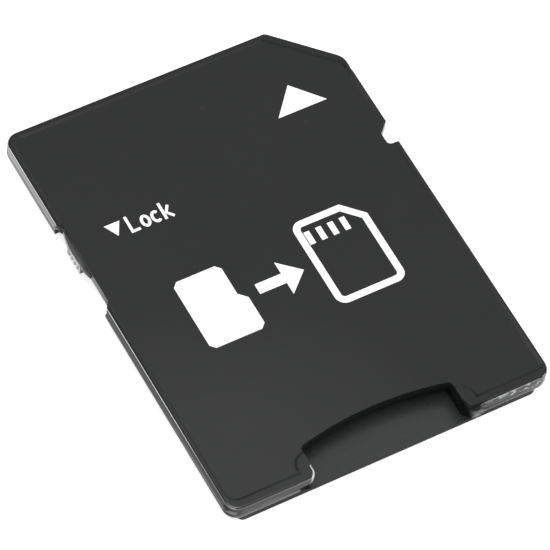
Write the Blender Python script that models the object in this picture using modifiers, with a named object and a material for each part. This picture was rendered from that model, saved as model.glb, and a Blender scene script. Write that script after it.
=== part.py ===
"""A full-size memory card adapter: two welded shells, eight spring leads, a carrier, a card spring and a lock slider."""

import cmath
import math

import bmesh
import bpy
from mathutils import Matrix, Vector

# The whole card: X across it, +Y towards its contacts, +Z towards its label, centred, with its underside at Z = 0
LENGTH = 32.0e-3
WIDTH = 24.0e-3
THICKNESS = 2.1e-3
CORNER_CUT = 4.0e-3
CORNER_RADIUS = 1.0e-3
CUT_RADIUS = 0.45e-3
CUT_SIDE_RADIUS = 1.2e-3

# The small dent in the label side's rim, where the cut corner's round ends
DENT_FROM_FRONT = 5.05e-3
DENT_LENGTH = 0.8e-3
DENT_DEPTH = 0.1e-3

# Guide rails, which are a step in the underside along both long sides
RAIL_WIDTH = 0.85e-3
RAIL_HEIGHT = 0.7e-3
RAIL_ROUND = 0.36e-3
REAR_SETBACK = 0.12e-3
FRONT_SETBACK = 0.4e-3
BODY_ROUND = 0.25e-3
BODY_CORNER = 0.5e-3

# The two shells meet at the seam
SEAM_HEIGHT = 1.4e-3
SEAM_GAP = 0.02e-3
SEAM_CHAMFER = 0.03e-3
TOP_ROUND = 0.2e-3
WALL = 1.5e-3
FRONT_WALL = 0.8e-3

# The shallow label field
FIELD_DEPTH = 0.05e-3
FIELD_SLOPE = 0.2e-3
FIELD_SIDE = 0.25e-3
FIELD_FRONT = 0.42e-3
FIELD_CUT = 0.54e-3
FIELD_REAR = 0.6e-3
FIELD_CORNER = 0.9e-3
FIELD_CORNER_RIGHT = 0.4e-3
FIELD_RISE = 1.25e-3
FIELD_SHOULDER = 0.9e-3

# The slot for the small card, with a sloped lead-in at its mouth, and the thumb recess over the mouth
SLOT_WIDTH = 11.2e-3
SLOT_DEPTH = 15.05e-3
SLOT_FLOOR = 0.55e-3
SLOT_STEP = 1.3e-3
SLOT_STEP_AT = 7.6e-3
SLOT_FLARE = 0.6e-3
LEAD_IN = 0.5e-3
MOUTH_DEPTH = 0.85e-3
MOUTH_LAP = 0.1e-3
MOUTH_STEP = 0.02e-3
RECESS_SIDE = 2.4e-3
RECESS_RISE = 0.65e-3
RECESS_CORNER = 0.3e-3

# The notch in the right side, whose middle is this far from the front edge
NOTCH_FROM_FRONT = 10.72e-3
NOTCH_LENGTH = 1.75e-3
NOTCH_DEPTH = 0.8e-3
NOTCH_RADIUS = 0.3e-3

# The notch in the left side, whose middle is this far from the front edge, and the lock slider in it
LOCK_FROM_FRONT = 11.35e-3
LOCK_LENGTH = 6.1e-3
LOCK_DEPTH = 0.4e-3
LOCK_SLOPE = 0.65e-3
LOCK_SPARE = 0.52e-3
LOCK_TRAVEL = 2.0e-3
SLIDER_LENGTH = 3.85e-3
SLIDER_TOP = 1.95e-3
SLIDER_BOTTOM = 1.0e-3
SLIDER_BULGE = 0.27e-3
CAP_ROUND = 0.03e-3
CAP_THICK = 0.35e-3
CAP_MARGIN = 0.02e-3
GRIP_FROM_END = 0.95e-3
GRIP_INSET = 0.06e-3
GRIP_LENGTH = 1.8e-3
GRIP_RAMP = 0.35e-3
GRIP_GROOVES = 4
GRIP_DEPTH = 0.06e-3
FOOT_LENGTH = 1.9e-3
FOOT_THICK = 0.22e-3
NECK_BOTTOM = 1.13e-3
HOOK_BOTTOM = 0.83e-3
LIP_THICK = 0.2e-3
SLIDE_CLEARANCE = 0.03e-3

# The contact leads, cut from one strip
STRIP_THICK = 0.15e-3
STRIP_WIDTH = 0.64e-3
PAD_SEAT = 0.1e-3
PAD_REAR_SEAT = 0.15e-3
PAD_CORNER = 0.12e-3
BRIDGE_WIDTH = 0.35e-3
BRIDGE_GAP = 0.25e-3
NECK_RUN = 0.4e-3
FAN_END = 2.2e-3
FAN_SHARE = 0.24
TONGUE_MARGIN = 0.55e-3
TONGUE_ROOT = 1.55e-3
TONGUE_FLAT = 0.3e-3
TONGUE_LEVEL = 0.6e-3
TONGUE_LOW = 0.33e-3
TONGUE_CREST = 0.9e-3
TONGUE_CREST_AT = 0.9e-3
TONGUE_TIP = 0.52e-3
TONGUE_REACH = 3.65e-3
BEND_RADIUS = 0.2e-3
SWEEP_RADIUS = 0.6e-3
CREST_RADIUS = 0.35e-3
TIP_WIDTH = 0.36e-3

# The windows that the pads show in: pads 1 to 6 are evenly spaced between pad 9 and the two narrow ones
NINTH_FROM_SIDE = 2.625e-3
SIXTH_FROM_SIDE = 6.375e-3
SEVENTH_FROM_SIDE = 3.95e-3
EIGHTH_FROM_SIDE = 2.25e-3
WINDOW_RIB = 0.6e-3
SEVENTH_WIDTH = 1.24e-3
EIGHTH_WIDTH = 1.04e-3
NINTH_WIDTH = 1.6e-3
PAD_FROM_FRONT = 1.5e-3
PAD_LENGTH = 4.35e-3
NINTH_FROM_FRONT = 4.0e-3
NINTH_LENGTH = 4.15e-3
LEAD_PADS = (9, 1, 2, 4, 5, 6, 7, 8)
GROUND_PADS = (6, 3)

# The carrier that is moulded over the leads, in its chamber between the shells
CARRIER_GAP = 0.05e-3
STACK_GAP = 0.02e-3
GROOVE_GAP = 0.03e-3
POCKET_FLOOR = 0.2e-3
POCKET_SIDE = 0.4e-3
POCKET_REACH = 4.65e-3

# The leaf spring that holds the small card, whose middle is this far from the rear edge
SPRING_FROM_REAR = 6.3e-3
SPRING_LENGTH = 3.2e-3
SPRING_THICK = 0.12e-3
SPRING_BUMP = 1.25e-3
SPRING_BUMP_WIDTH = 1.6e-3
SPRING_WALL = 0.4e-3
SPRING_ROOM = 0.85e-3
SPRING_GAP = 0.03e-3

# Hollows that even out the walls, and the pegs that line the shells up
CORE_FLOOR = 0.6e-3
CORE_WALL = 0.8e-3
CORE_RIB = 1.4e-3
CORE_RIB_FROM_REAR = 8.0e-3
CORE_END = 1.8e-3
CORE_CORNER = 0.3e-3
PEG_RADIUS = 0.4e-3
PEG_LENGTH = 0.4e-3
PEG_GAP = 0.05e-3
PEG_FROM_FRONT = 7.5e-3

ARC_STEP = math.radians(11.25)
WELD = 0.1e-6

LABEL_BLACK = (0.045, 0.048, 0.046, 1.0)
HOUSING_BLACK = (0.03, 0.032, 0.031, 1.0)
SLIDER_GREY = (0.09, 0.09, 0.095, 1.0)
CARRIER_BLACK = (0.02, 0.02, 0.02, 1.0)
GOLD = (0.83, 0.62, 0.25, 1.0)
STEEL = (0.62, 0.62, 0.6, 1.0)

HALF_WIDTH = WIDTH / 2
HALF_LENGTH = LENGTH / 2
HALF_SLOT = SLOT_WIDTH / 2
BODY_SIDE = HALF_WIDTH - RAIL_WIDTH
SLOT_FRONT = SLOT_DEPTH - HALF_LENGTH
SLOT_NARROW = HALF_SLOT - SLOT_STEP
SHELL_TOP = SEAM_HEIGHT - SEAM_GAP / 2
COVER_LOW = SEAM_HEIGHT + SEAM_GAP / 2
CHAMBER_FLOOR = RAIL_HEIGHT - STACK_GAP
NOTCH_AT = HALF_LENGTH - NOTCH_FROM_FRONT
SPRING_AT = -HALF_LENGTH + SPRING_FROM_REAR
CORE_RIB_AT = -HALF_LENGTH + CORE_RIB_FROM_REAR
LOCK_AT = HALF_LENGTH - LOCK_FROM_FRONT
LOCK_WALL = -HALF_WIDTH + LOCK_DEPTH
LOCK_FRONT = LOCK_AT + LOCK_LENGTH / 2
LOCK_REAR = LOCK_AT - LOCK_LENGTH / 2
SLIDER_FRONT = LOCK_FRONT - SLIDE_CLEARANCE
SLIDER_REAR = SLIDER_FRONT - SLIDER_LENGTH
SLIDER_MIDDLE = (SLIDER_FRONT + SLIDER_REAR) / 2
GRIP_REAR = SLIDER_REAR + GRIP_FROM_END
FOOT_REAR = GRIP_REAR + CAP_MARGIN
FOOT_FRONT = FOOT_REAR + FOOT_LENGTH
HOOK_SIDE = -BODY_SIDE + LIP_THICK + SLIDE_CLEARANCE
TONGUE_START = SLOT_FRONT + TONGUE_ROOT
PAD_PITCH = (WIDTH - NINTH_FROM_SIDE - SIXTH_FROM_SIDE) / 6
TONGUE_PITCH = (HALF_SLOT + SLOT_NARROW - 2 * TONGUE_MARGIN) / len(LEAD_PADS)
FAR = LENGTH


def pads():
    """Each pad by its number: its middle across the card, its window's width and rear end, and its front end."""
    front = HALF_LENGTH - PAD_FROM_FRONT
    rear = front - PAD_LENGTH
    ninth_front = HALF_LENGTH - NINTH_FROM_FRONT
    ninth = HALF_WIDTH - NINTH_FROM_SIDE
    found = {9: (ninth, NINTH_WIDTH, ninth_front - NINTH_LENGTH, ninth_front)}
    for number in range(1, 7):
        found[number] = (ninth - number * PAD_PITCH, PAD_PITCH - WINDOW_RIB, rear, front)
    found[7] = (-HALF_WIDTH + SEVENTH_FROM_SIDE, SEVENTH_WIDTH, rear, front)
    found[8] = (-HALF_WIDTH + EIGHTH_FROM_SIDE, EIGHTH_WIDTH, rear, front)
    return found


WINDOWS = pads()
FAN_END = TONGUE_START + FAN_SHARE * (WINDOWS[9][2] - PAD_REAR_SEAT - NECK_RUN - TONGUE_START)


def empty_scene():
    """Removes every object, and gives the collections for the parts and for their cutters."""
    for obj in list(bpy.data.objects):
        bpy.data.objects.remove(obj)
    made = []
    for name in ("memory_card_adapter", "cutters"):
        collection = bpy.data.collections.new(name)
        bpy.context.scene.collection.children.link(collection)
        made.append(collection)
    made[1].hide_render = True
    return made


PARTS, CUTTERS = empty_scene()


def rounded(corners):
    """The closed outline through (x, y, radius) corners, with an arc of its radius at each."""
    points = []
    for i, (x, y, radius) in enumerate(corners):
        if radius == 0:
            points.append((x, y))
            continue
        here = complex(x, y)
        arriving = here - complex(*corners[i - 1][:2])
        leaving = complex(*corners[(i + 1) % len(corners)][:2]) - here
        turn = cmath.phase(leaving / arriving)
        arriving /= abs(arriving)
        start = here - arriving * radius * math.tan(abs(turn) / 2)
        centre = start + arriving * 1j * math.copysign(radius, turn)
        steps = max(1, round(abs(turn) / ARC_STEP))
        for k in range(steps + 1):
            point = centre + (start - centre) * cmath.exp(1j * turn * k / steps)
            points.append((point.real, point.imag))
    return points


def extruded(name, outline, thickness):
    """A mesh of a flat filled outline with this thickness, centred on Z = 0."""
    curve = bpy.data.curves.new(name, "CURVE")
    curve.dimensions = "2D"
    curve.fill_mode = "BOTH"
    curve.extrude = thickness / 2
    spline = curve.splines.new("POLY")
    spline.points.add(len(outline) - 1)
    for point, (x, y) in zip(spline.points, outline):
        point.co = (x, y, 0, 1)
    spline.use_cyclic_u = True
    flat = bpy.data.objects.new(name, curve)
    bpy.context.scene.collection.objects.link(flat)
    graph = bpy.context.evaluated_depsgraph_get()
    mesh = bpy.data.meshes.new_from_object(flat.evaluated_get(graph))
    bpy.data.objects.remove(flat)
    return mesh


def round_loop(shape, height, width, segments):
    """Rounds the horizontal edges round a slab's top or bottom, at this height."""
    loop = [
        edge
        for edge in shape.edges
        if all(abs(vert.co.z - height) < WELD for vert in edge.verts)
    ]
    bmesh.ops.bevel(
        shape, geom=loop, offset=width, offset_type="OFFSET", segments=segments, profile=0.5, affect="EDGES"
    )


def slab(name, outline, low, high, round_low=0.0, round_high=0.0, chamfer_low=0.0, chamfer_high=0.0):
    """An object made of a flat outline between two heights, in the cutters' collection until it is kept."""
    mesh = extruded(name, outline, high - low)
    shape = bmesh.new()
    shape.from_mesh(mesh)
    bmesh.ops.remove_doubles(shape, verts=shape.verts, dist=WELD)
    bmesh.ops.dissolve_limit(shape, angle_limit=0.01, verts=shape.verts, edges=shape.edges)
    bmesh.ops.translate(shape, verts=shape.verts, vec=(0, 0, (low + high) / 2))
    for height, width, segments in (
        (low, round_low, 3),
        (high, round_high, 3),
        (low, chamfer_low, 1),
        (high, chamfer_high, 1),
    ):
        if width:
            round_loop(shape, height, width, segments)
    bmesh.ops.recalc_face_normals(shape, faces=shape.faces)
    shape.to_mesh(mesh)
    shape.free()
    obj = bpy.data.objects.new(name, mesh)
    CUTTERS.objects.link(obj)
    obj.hide_render = True
    obj.display_type = "WIRE"
    return obj


def peg(name, x, y, radius, low, high):
    """An upright cylinder between two heights."""
    shape = bmesh.new()
    bmesh.ops.create_cone(
        shape, cap_ends=True, segments=16, radius1=radius, radius2=radius, depth=high - low
    )
    bmesh.ops.translate(shape, verts=shape.verts, vec=(x, y, (low + high) / 2))
    mesh = bpy.data.meshes.new(name)
    shape.to_mesh(mesh)
    shape.free()
    obj = bpy.data.objects.new(name, mesh)
    CUTTERS.objects.link(obj)
    obj.hide_render = True
    obj.display_type = "WIRE"
    return obj


def box_outline(left, right, rear, front, radius=0.0):
    """A rectangle's corners, all with one radius."""
    return rounded([(left, rear, radius), (right, rear, radius), (right, front, radius), (left, front, radius)])


def material(name, colour, roughness, metallic=0.0):
    """A Principled material with this colour."""
    made = bpy.data.materials.new(name)
    made.use_nodes = True
    shader = made.node_tree.nodes["Principled BSDF"]
    shader.inputs["Base Color"].default_value = colour
    shader.inputs["Roughness"].default_value = roughness
    shader.inputs["Metallic"].default_value = metallic
    made.diffuse_color = colour
    return made


def keep(obj, finish):
    """Moves a finished object from the cutters to the parts and gives it its material."""
    CUTTERS.objects.unlink(obj)
    PARTS.objects.link(obj)
    obj.hide_render = False
    obj.display_type = "TEXTURED"
    obj.data.materials.clear()
    obj.data.materials.append(finish)
    return obj


def combine(obj, others, operation):
    """Adds one Boolean modifier that joins or cuts an object with a group of others."""
    group = bpy.data.collections.new(f"{obj.name}_{operation.lower()}")
    CUTTERS.children.link(group)
    for other in others:
        CUTTERS.objects.unlink(other)
        group.objects.link(other)
    modifier = obj.modifiers.new(operation.lower(), "BOOLEAN")
    modifier.operation = operation
    modifier.solver = "EXACT"
    modifier.operand_type = "COLLECTION"
    modifier.collection = group


def card_corners(inset_side=0.0, inset_front=0.0, inset_rear=0.0, inset_cut=0.0, radius=CORNER_RADIUS):
    """The card's corners from the rear left, anticlockwise, with the cut corner at the front right."""
    side = HALF_WIDTH - inset_side
    front = HALF_LENGTH - inset_front
    rear = -HALF_LENGTH + inset_rear
    cut = HALF_WIDTH + HALF_LENGTH - CORNER_CUT - inset_cut * math.sqrt(2)
    return [
        (-side, rear, radius),
        (side, rear, radius),
        (side, cut - side, CUT_SIDE_RADIUS),
        (cut - front, front, CUT_RADIUS),
        (-side, front, radius),
    ]


def side_notch_corners():
    """The right side's notch, from its rear end to its front end, whose corner slopes."""
    inner = HALF_WIDTH - NOTCH_DEPTH
    rear = NOTCH_AT - NOTCH_LENGTH / 2
    front = NOTCH_AT + NOTCH_LENGTH / 2
    return [
        (HALF_WIDTH, rear, 0.0),
        (inner, rear, NOTCH_RADIUS),
        (inner, front - NOTCH_DEPTH, 0.0),
        (HALF_WIDTH, front, 0.0),
    ]


def lock_notch_corners(wall, spare=0.0, slope=0.0):
    """The left side's notch down to this wall, from its front end to its rear, with this much to spare."""
    front = LOCK_FRONT + spare
    rear = LOCK_REAR - spare
    return [
        (-HALF_WIDTH, front + slope, 0.0),
        (wall, front, 0.0),
        (wall, rear, 0.0),
        (-HALF_WIDTH, rear - slope, 0.0),
    ]


def mouth_corners():
    """The mouth's notch in the rear edge, whose corners flare out, from its left end to its right."""
    front = -HALF_LENGTH + MOUTH_DEPTH
    return [
        (-HALF_SLOT, -HALF_LENGTH, SLOT_FLARE),
        (-HALF_SLOT, front, 0.0),
        (HALF_SLOT, front, 0.0),
        (HALF_SLOT, -HALF_LENGTH, SLOT_FLARE),
    ]


def thumb_recess_outline():
    """The thumb recess, a hair wider than the mouth's notch behind it: straight sides and an arch between them."""
    half = HALF_SLOT + MOUTH_STEP
    side = -HALF_LENGTH + RECESS_SIDE
    rear = -HALF_LENGTH + MOUTH_DEPTH - MOUTH_LAP
    radius = (half**2 + RECESS_RISE**2) / (2 * RECESS_RISE)
    sweep = math.asin(half / radius)
    arch = []
    steps = 12
    for k in range(1, steps):
        angle = sweep * (1 - 2 * k / steps)
        arch.append((radius * math.sin(angle), side + RECESS_RISE - radius * (1 - math.cos(angle)), 0.0))
    return rounded(
        [(-half, rear, 0.0), (half, rear, 0.0), (half, side, RECESS_CORNER)]
        + arch
        + [(-half, side, RECESS_CORNER)]
    )


def make_top_shell():
    """The label side: a plate with the thumb recess, both notches, the label field, a dent and pegs."""
    rear_left, rear_right, *front = card_corners()
    outline = rounded([rear_left] + mouth_corners() + [rear_right] + side_notch_corners() + front)
    shell = slab(
        "top_shell", outline, COVER_LOW, THICKNESS, round_high=TOP_ROUND, chamfer_low=SEAM_CHAMFER
    )
    recess = slab("thumb_recess", thumb_recess_outline(), 0.0, FAR)
    notch = slab("lock_notch", rounded(lock_notch_corners(LOCK_WALL, slope=LOCK_SLOPE)), 0.0, FAR)
    field = slab("label_field", label_field_outline(), -FIELD_SLOPE, FAR, chamfer_low=FIELD_SLOPE)
    flatten = Matrix.Diagonal((1.0, 1.0, FIELD_DEPTH / FIELD_SLOPE, 1.0))
    field.data.transform(Matrix.Translation((0, 0, THICKNESS)) @ flatten)
    dent_radius = (DENT_LENGTH**2 / 4 + DENT_DEPTH**2) / (2 * DENT_DEPTH)
    dent_middle = (HALF_WIDTH - DENT_DEPTH + dent_radius, HALF_LENGTH - DENT_FROM_FRONT)
    dent = peg("rim_dent", *dent_middle, dent_radius, SEAM_HEIGHT, FAR)
    combine(shell, [recess, notch, field, dent], "DIFFERENCE")
    pegs = [
        peg(f"peg_{i}", x, y, PEG_RADIUS, COVER_LOW - PEG_LENGTH, (COVER_LOW + THICKNESS) / 2)
        for i, (x, y) in enumerate(peg_places())
    ]
    combine(shell, pegs, "UNION")
    return keep(shell, material("label_side", LABEL_BLACK, 0.45))


def label_field_outline():
    """The label field: inset from the card's edges, and stepping round both ends of the thumb recess."""
    rear_left, rear_right, right, cut, front_left = card_corners(
        FIELD_SIDE, FIELD_FRONT, FIELD_REAR, FIELD_CUT, FIELD_CORNER
    )
    rear = rear_left[1]
    shoulder = HALF_SLOT + FIELD_SHOULDER
    return rounded(
        [
            rear_left,
            (-shoulder, rear, 0.0),
            (-shoulder, rear + FIELD_RISE, FIELD_SHOULDER),
            (0.0, rear + FIELD_RISE, 0.0),
            (shoulder, rear + FIELD_RISE, FIELD_SHOULDER),
            (shoulder, rear, 0.0),
            (*rear_right[:2], FIELD_CORNER_RIGHT),
            right,
            cut,
            front_left,
        ]
    )


def peg_places():
    """Where the shells are pegged together: at the rear, on the middle ribs and in the front walls."""
    rear = -HALF_LENGTH + CORE_END / 2
    wall = HALF_WIDTH - WALL / 2
    middle = (HALF_SLOT + BODY_SIDE) / 2
    return [
        (-middle, rear),
        (middle, rear),
        (-middle, CORE_RIB_AT),
        (middle + CORE_WALL, CORE_RIB_AT),
        (-wall, HALF_LENGTH - CORNER_CUT),
        (wall, HALF_LENGTH - PEG_FROM_FRONT),
    ]


def chamber_corners(inset=0.0):
    """The chamber for the carrier: wide over the pads, narrowing along the fan to the slot's front end."""
    side = HALF_WIDTH - WALL - inset
    front = HALF_LENGTH - FRONT_WALL - inset
    cut = HALF_WIDTH + HALF_LENGTH - CORNER_CUT - (FRONT_WALL + inset) * math.sqrt(2)
    left_pad = WINDOWS[8]
    right_pad = WINDOWS[9]
    return [
        (-HALF_SLOT + inset, SLOT_FRONT + inset, 0.0),
        (SLOT_NARROW - inset, SLOT_FRONT + inset, 0.0),
        (SLOT_NARROW - inset, TONGUE_START, 0.0),
        (side, right_pad[2] - STRIP_WIDTH, 0.0),
        (side, cut - side, 0.0),
        (cut - front, front, 0.0),
        (-side, front, 0.0),
        (-side, left_pad[2] - PAD_REAR_SEAT - 2 * NECK_RUN - STRIP_WIDTH, 0.0),
        (-HALF_SLOT + inset, FAN_END - STRIP_WIDTH, 0.0),
    ]


def slot_outline():
    """The small card's slot, flared at its mouth, with the step that lets the card in only one way round."""
    step_rear = SLOT_FRONT - SLOT_STEP_AT
    mouth = HALF_SLOT + SLOT_FLARE
    return rounded(
        [
            (-mouth - SLOT_FLARE, -HALF_LENGTH - SLOT_FLARE, 0.0),
            (mouth + SLOT_FLARE, -HALF_LENGTH - SLOT_FLARE, 0.0),
            (mouth, -HALF_LENGTH, 0.0),
            (HALF_SLOT, -HALF_LENGTH, SLOT_FLARE),
            (HALF_SLOT, step_rear, 0.0),
            (SLOT_NARROW, step_rear + SLOT_STEP, 0.0),
            (SLOT_NARROW, SLOT_FRONT + CARRIER_GAP, 0.0),
            (-HALF_SLOT, SLOT_FRONT + CARRIER_GAP, 0.0),
            (-HALF_SLOT, -HALF_LENGTH, SLOT_FLARE),
            (-mouth, -HALF_LENGTH, 0.0),
        ]
    )


def lead_in_outline():
    """The lead-in's upper outline: both sides slant outwards, and slope down to the slot's floor at its flare."""
    beyond = SLOT_FLARE
    widened = SLOT_FLARE + LEAD_IN * math.sqrt(2)
    side = HALF_SLOT + widened + beyond
    rear = -HALF_LENGTH - beyond
    front = -HALF_LENGTH + widened
    return rounded([(-side, rear, 0.0), (side, rear, 0.0), (HALF_SLOT, front, 0.0), (-HALF_SLOT, front, 0.0)])


def window_cuts():
    """The channels that the pads show in, each open towards the front edge."""
    cuts = []
    for number, (x, width, rear, _) in WINDOWS.items():
        outline = box_outline(x - width / 2, x + width / 2, rear, FAR)
        cuts.append(slab(f"window_{number}", outline, -FAR, RAIL_HEIGHT))
    return cuts


def core_cuts():
    """Hollows beside the slot, two on each side, that leave even walls and a rib between them."""
    rear = -HALF_LENGTH + CORE_END
    rib_rear = CORE_RIB_AT - CORE_RIB / 2
    rib_front = CORE_RIB_AT + CORE_RIB / 2
    side = BODY_SIDE - CORE_WALL / 2
    spring_side = HALF_SLOT + SPRING_WALL + SPRING_ROOM + CORE_WALL
    left_front = LOCK_REAR - CORE_WALL
    right_front = TONGUE_START - CORE_WALL
    places = {
        "core_left_rear": (-side, -HALF_SLOT - CORE_WALL, rear, rib_rear),
        "core_left_front": (-side, -HALF_SLOT - CORE_WALL, rib_front, left_front),
        "core_right_rear": (spring_side, side, rear, rib_rear),
        "core_right_front": (spring_side, side, rib_front, right_front),
    }
    return [
        slab(name, box_outline(*place, CORE_CORNER), CORE_FLOOR, FAR) for name, place in places.items()
    ]


def spring_room_cuts():
    """The groove that the leaf spring lies in, and its window into the slot."""
    inner = HALF_SLOT + SPRING_WALL
    half = SPRING_LENGTH / 2 + SPRING_GAP
    half_window = SPRING_BUMP_WIDTH / 2 - SPRING_GAP
    floor = SLOT_FLOOR + SPRING_GAP
    groove = box_outline(inner, inner + SPRING_ROOM, SPRING_AT - half, SPRING_AT + half)
    window = box_outline(
        HALF_SLOT - SPRING_WALL, inner + SPRING_WALL / 2, SPRING_AT - half_window, SPRING_AT + half_window
    )
    return [slab("spring_groove", groove, floor, FAR), slab("spring_window", window, floor, FAR)]


def slider_room_cuts():
    """The hooked groove that the slider's foot runs in, behind a lip along the left side."""
    rear = FOOT_REAR - LOCK_TRAVEL - SLIDE_CLEARANCE
    front = FOOT_FRONT + SLIDE_CLEARANCE
    mouth = box_outline(-HALF_WIDTH, HOOK_SIDE, rear, front)
    hook = box_outline(HOOK_SIDE - SLIDE_CLEARANCE, HOOK_SIDE + FOOT_THICK + SLIDE_CLEARANCE, rear, front)
    return [
        slab("foot_mouth", mouth, NECK_BOTTOM - SLIDE_CLEARANCE, FAR),
        slab("foot_groove", hook, HOOK_BOTTOM - SLIDE_CLEARANCE, FAR),
    ]


def make_bottom_shell():
    """The contact side: rails, slot floor, windows with ribs between them, chamber, hollows and peg holes."""
    rear_left, rear_right, *front = card_corners()
    rails = rounded(
        [rear_left, rear_right]
        + side_notch_corners()
        + front
        + lock_notch_corners(-BODY_SIDE - SEAM_GAP, spare=LOCK_SPARE)
    )
    shell = slab(
        "bottom_shell", rails, RAIL_HEIGHT, SHELL_TOP, round_low=RAIL_ROUND, chamfer_high=SEAM_CHAMFER
    )
    body_outline = rounded(
        card_corners(RAIL_WIDTH, FRONT_SETBACK, REAR_SETBACK, FRONT_SETBACK, BODY_CORNER)
    )
    body = slab(
        "thick_body", body_outline, 0.0, (RAIL_HEIGHT + SHELL_TOP) / 2, round_low=BODY_ROUND
    )
    combine(shell, [body], "UNION")
    pocket = box_outline(
        -HALF_SLOT + POCKET_SIDE, SLOT_NARROW - POCKET_SIDE, SLOT_FRONT - POCKET_REACH, TONGUE_START
    )
    cuts = [
        slab("card_slot", slot_outline(), SLOT_FLOOR, FAR),
        slab("mouth_lead_in", lead_in_outline(), SLOT_FLOOR, FAR, chamfer_low=LEAD_IN),
        slab("carrier_chamber", rounded(chamber_corners()), CHAMBER_FLOOR, FAR),
        slab("tongue_pocket", pocket, POCKET_FLOOR, FAR),
    ]
    cuts += window_cuts() + core_cuts() + spring_room_cuts() + slider_room_cuts()
    cuts += [
        peg(
            f"peg_hole_{i}", x, y, PEG_RADIUS + PEG_GAP, COVER_LOW - PEG_LENGTH - 2 * PEG_GAP, THICKNESS
        )
        for i, (x, y) in enumerate(peg_places())
    ]
    combine(shell, cuts, "DIFFERENCE")
    return keep(shell, material("contact_side", HOUSING_BLACK, 0.4))


def tongue_places():
    """Where each lead's spring tongue lies across the card, from the right to the left."""
    middle = (SLOT_NARROW - HALF_SLOT) / 2
    return [middle + TONGUE_PITCH * ((len(LEAD_PADS) - 1) / 2 - k) for k in range(len(LEAD_PADS))]


def lead_corners(pad, tongue, start=TONGUE_START, spare=0.0):
    """A lead's flat part, anticlockwise from its rear right: fan strip, neck and pad, with this much to spare."""
    x, window_width, window_rear, front = WINDOWS[pad]
    half = window_width / 2 + PAD_SEAT + spare
    strip = STRIP_WIDTH / 2 + spare
    rear = window_rear - PAD_REAR_SEAT - spare
    neck = rear - NECK_RUN
    front += spare
    right = [
        (tongue + strip, start, 0.0),
        (tongue + strip, FAN_END, 0.0),
        (x + strip, neck, 0.0),
        (x + strip, rear, 0.0),
        (x + half, rear, PAD_CORNER),
    ]
    left = [
        (x - half, rear, PAD_CORNER),
        (x - strip, rear, 0.0),
        (x - strip, neck, 0.0),
        (tongue - strip, FAN_END, 0.0),
        (tongue - strip, start, 0.0),
    ]
    if pad != GROUND_PADS[0]:
        return right + [(x + half, front, PAD_CORNER), (x - half, front, PAD_CORNER)] + left
    far = WINDOWS[GROUND_PADS[1]][0]
    low = front + BRIDGE_GAP - 2 * spare
    high = low + BRIDGE_WIDTH + 2 * spare
    bridge = [
        (x + half, low, 0.0),
        (far - half, low, 0.0),
        (far - half, rear, PAD_CORNER),
        (far + half, rear, PAD_CORNER),
        (far + half, high, PAD_CORNER),
        (x - half, high, PAD_CORNER),
    ]
    return right + bridge + left


def tongue_profile():
    """The tongue's middle line as (y, z): down off the flat part, along the pocket, up to the crest and down."""
    middle = RAIL_HEIGHT + STRIP_THICK / 2
    tip = SLOT_FRONT - TONGUE_REACH
    return rounded(
        [
            (TONGUE_START, middle, 0.0),
            (TONGUE_START - TONGUE_FLAT, middle, BEND_RADIUS),
            (SLOT_FRONT + TONGUE_LEVEL, TONGUE_LOW, BEND_RADIUS),
            (SLOT_FRONT - TONGUE_LEVEL, TONGUE_LOW, SWEEP_RADIUS),
            (tip + TONGUE_CREST_AT, TONGUE_CREST, CREST_RADIUS),
            (tip, TONGUE_TIP, 0.0),
        ]
    )


def make_lead(index, pad, tongue, finish):
    """One lead, formed from a flat strip: its outline as one face, and its tongue as a bent ribbon."""
    shape = bmesh.new()
    middle = RAIL_HEIGHT + STRIP_THICK / 2
    flat = [shape.verts.new((x, y, middle)) for x, y in rounded(lead_corners(pad, tongue))]
    shape.faces.new(flat)
    right, left = flat[0], flat[-1]
    profile = tongue_profile()
    for k, (y, z) in enumerate(profile[1:], 1):
        half = (STRIP_WIDTH + (TIP_WIDTH - STRIP_WIDTH) * k / (len(profile) - 1)) / 2
        next_right = shape.verts.new((tongue + half, y, z))
        next_left = shape.verts.new((tongue - half, y, z))
        shape.faces.new((right, left, next_left, next_right))
        right, left = next_right, next_left
    bmesh.ops.recalc_face_normals(shape, faces=shape.faces)
    mesh = bpy.data.meshes.new(f"contact_lead_{index}")
    shape.to_mesh(mesh)
    shape.free()
    lead = bpy.data.objects.new(f"contact_lead_{index}", mesh)
    CUTTERS.objects.link(lead)
    wall = lead.modifiers.new("thickness", "SOLIDIFY")
    wall.thickness = STRIP_THICK
    wall.offset = 0
    wall.use_even_offset = True
    return keep(lead, finish)


def make_carrier():
    """The insulating carrier, with a groove in its underside for each lead."""
    carrier = slab(
        "contact_carrier", rounded(chamber_corners(CARRIER_GAP)), RAIL_HEIGHT, COVER_LOW - 2 * SEAM_GAP
    )
    grooves = [
        slab(
            f"groove_{pad}",
            rounded(lead_corners(pad, tongue, SLOT_FRONT - TONGUE_FLAT, GROOVE_GAP)),
            -FAR,
            RAIL_HEIGHT + STRIP_THICK + STACK_GAP,
        )
        for pad, tongue in zip(LEAD_PADS, tongue_places())
    ]
    combine(carrier, grooves, "DIFFERENCE")
    return keep(carrier, material("carrier", CARRIER_BLACK, 0.55))


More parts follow.
